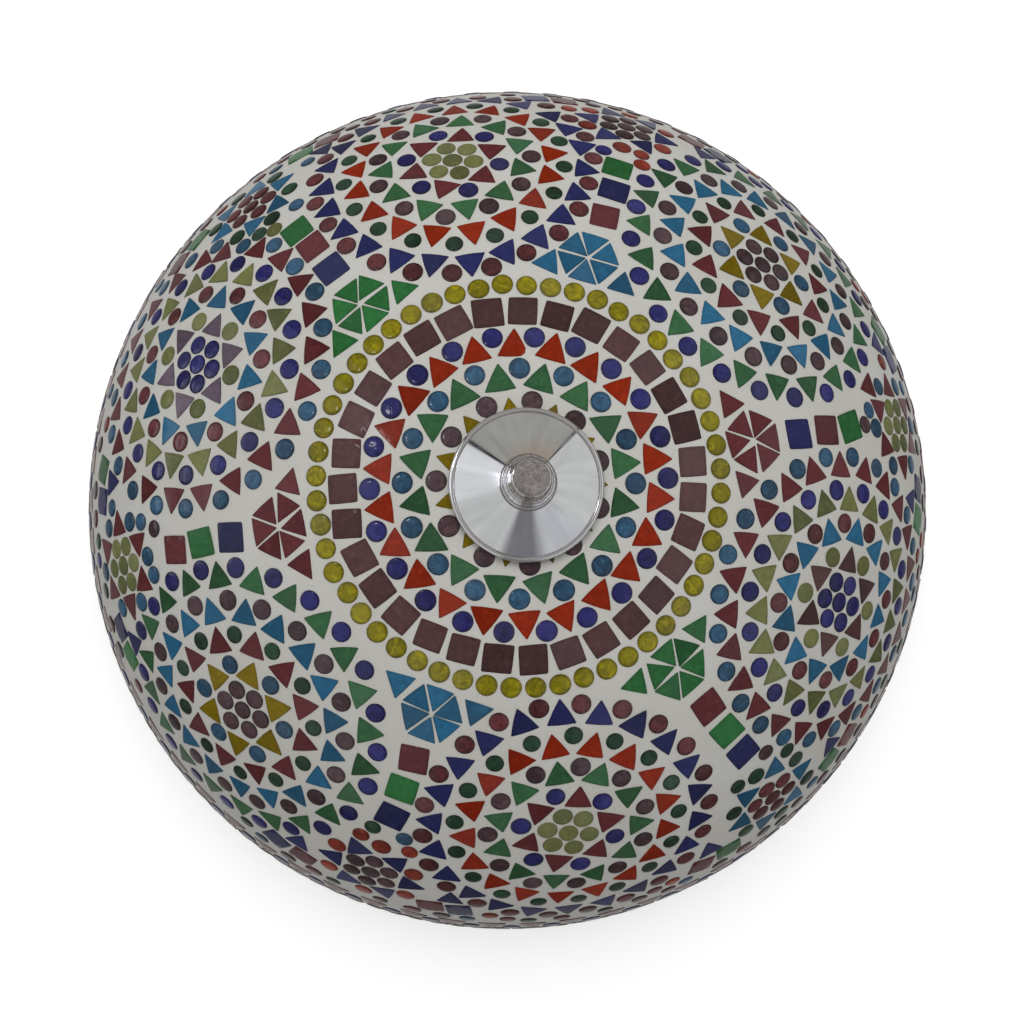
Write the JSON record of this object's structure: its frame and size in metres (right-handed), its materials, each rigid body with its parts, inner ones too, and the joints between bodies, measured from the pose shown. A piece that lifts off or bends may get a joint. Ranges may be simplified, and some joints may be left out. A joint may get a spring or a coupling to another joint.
{
  "type": "mosaic glass ceiling lamp",
  "caption": "Flush ceiling lamp: a wide glass bowl faced with coloured glass mosaic, held to a steel pan by a central rod, chrome cap and knob, over screw-in bulbs.",
  "frame": {"origin": "centre of the face that goes against the ceiling, on the pan's flange", "axes": "+Z from that face towards the finial, which hangs lowest in use; X along the crossbar and the bulbs"},
  "size_m": [0.4, 0.4, 0.2],
  "materials": {
    "white_steel": "gloss white stoved paint",
    "zinc": "bright zinc plate",
    "brass": "plain, slightly dulled",
    "chrome": "polished, with fine scratches",
    "rubber": "matt black",
    "grommet": "matt black",
    "glass": "clear pressed glass",
    "mosaic": "coloured glass chips in off-white grout",
    "porcelain": "white glaze",
    "opal": "opal white",
    "aluminium": "rolled thread, bright",
    "block": "moulded, cream",
    "live": "brown sleeving",
    "neutral": "blue sleeving",
    "earth": "green and yellow sleeving",
    "fibre": "pressed fibre"
  },
  "bodies": {
    "pan": {"block_screw": "zinc", "bracket_screw_a1": "zinc", "bracket_screw_a2": "zinc", "bracket_screw_b1": "zinc", "bracket_screw_b2": "zinc", "cable_grommet": "grommet", "cap_nut_a": "zinc", "cap_nut_b": "zinc", "crossbar": "zinc", "earth_screw": "brass", "earth_tag": "brass", "holder_body_a": "porcelain", "holder_body_b": "porcelain", "holder_bracket_a": "zinc", "holder_bracket_b": "zinc", "holder_contact_a": "brass", "holder_contact_b": "brass", "holder_screw_a": "zinc", "holder_screw_b": "zinc", "holder_shell_a": "brass", "holder_shell_b": "brass", "mounting_pan": "white_steel", "rim_gasket": "rubber", "rod_nut_front": "zinc", "rod_nut_rear": "zinc", "rod_washer": "zinc", "stud_a": "zinc", "stud_b": "zinc", "terminal_block": "block", "terminal_screw_1": "zinc", "terminal_screw_2": "zinc", "terminal_screw_3": "zinc", "threaded_rod": "zinc", "wire_earth": "earth", "wire_live_a": "live", "wire_live_b": "live", "wire_neutral_a": "neutral", "wire_neutral_b": "neutral"},
    "bowl": {"glass_bowl": "glass", "mosaic_layer": "mosaic", "bowl_bush": "rubber", "cap_gasket": "rubber", "finial_cap": "chrome"},
    "knob_slide": {"knob_washer": "fibre"},
    "knob": {"finial_knob": "chrome"},
    "bulb_a_slide": {"bulb_tip_a": "aluminium"},
    "bulb_a": {"bulb_cap_a": "aluminium", "bulb_glass_a": "opal"},
    "bulb_b_slide": {"bulb_tip_b": "aluminium"},
    "bulb_b": {"bulb_cap_b": "aluminium", "bulb_glass_b": "opal"}
  },
  "joints": [
    {"name": "bowl_lift", "type": "slide", "parent": "pan", "child": "bowl", "axis": [0, 0, 1], "range_m": [0, 0.2]},
    {"name": "knob_travel", "type": "slide", "parent": "bowl", "child": "knob_slide", "axis": [0, 0, 1], "range_m": [0, 0.0136]},
    {"name": "knob_turn", "type": "hinge", "parent": "knob_slide", "child": "knob", "pos_m": [0, 0, 0.18], "axis": [0, 0, 1], "range_deg": [0, 4860]},
    {"name": "bulb_a_travel", "type": "slide", "parent": "pan", "child": "bulb_a_slide", "axis": [1, 0, 0], "range_m": [0, 0.022]},
    {"name": "bulb_a_turn", "type": "hinge", "parent": "bulb_a_slide", "child": "bulb_a", "pos_m": [-0.06, 0.042, 0.06], "axis": [1, 0, 0], "range_deg": [0, 2160]},
    {"name": "bulb_b_travel", "type": "slide", "parent": "pan", "child": "bulb_b_slide", "axis": [-1, 0, 0], "range_m": [0, 0.022]},
    {"name": "bulb_b_turn", "type": "hinge", "parent": "bulb_b_slide", "child": "bulb_b", "pos_m": [0.06, -0.042, 0.06], "axis": [-1, 0, 0], "range_deg": [0, 2160]}
  ],
  "couplings": [
    {"joint": "knob_travel", "follows": "knob_turn", "m_per_rad": 0.00015915},
    {"joint": "bulb_a_travel", "follows": "bulb_a_turn", "m_per_rad": 0.00057751},
    {"joint": "bulb_b_travel", "follows": "bulb_b_turn", "m_per_rad": 0.00057751}
  ]
}
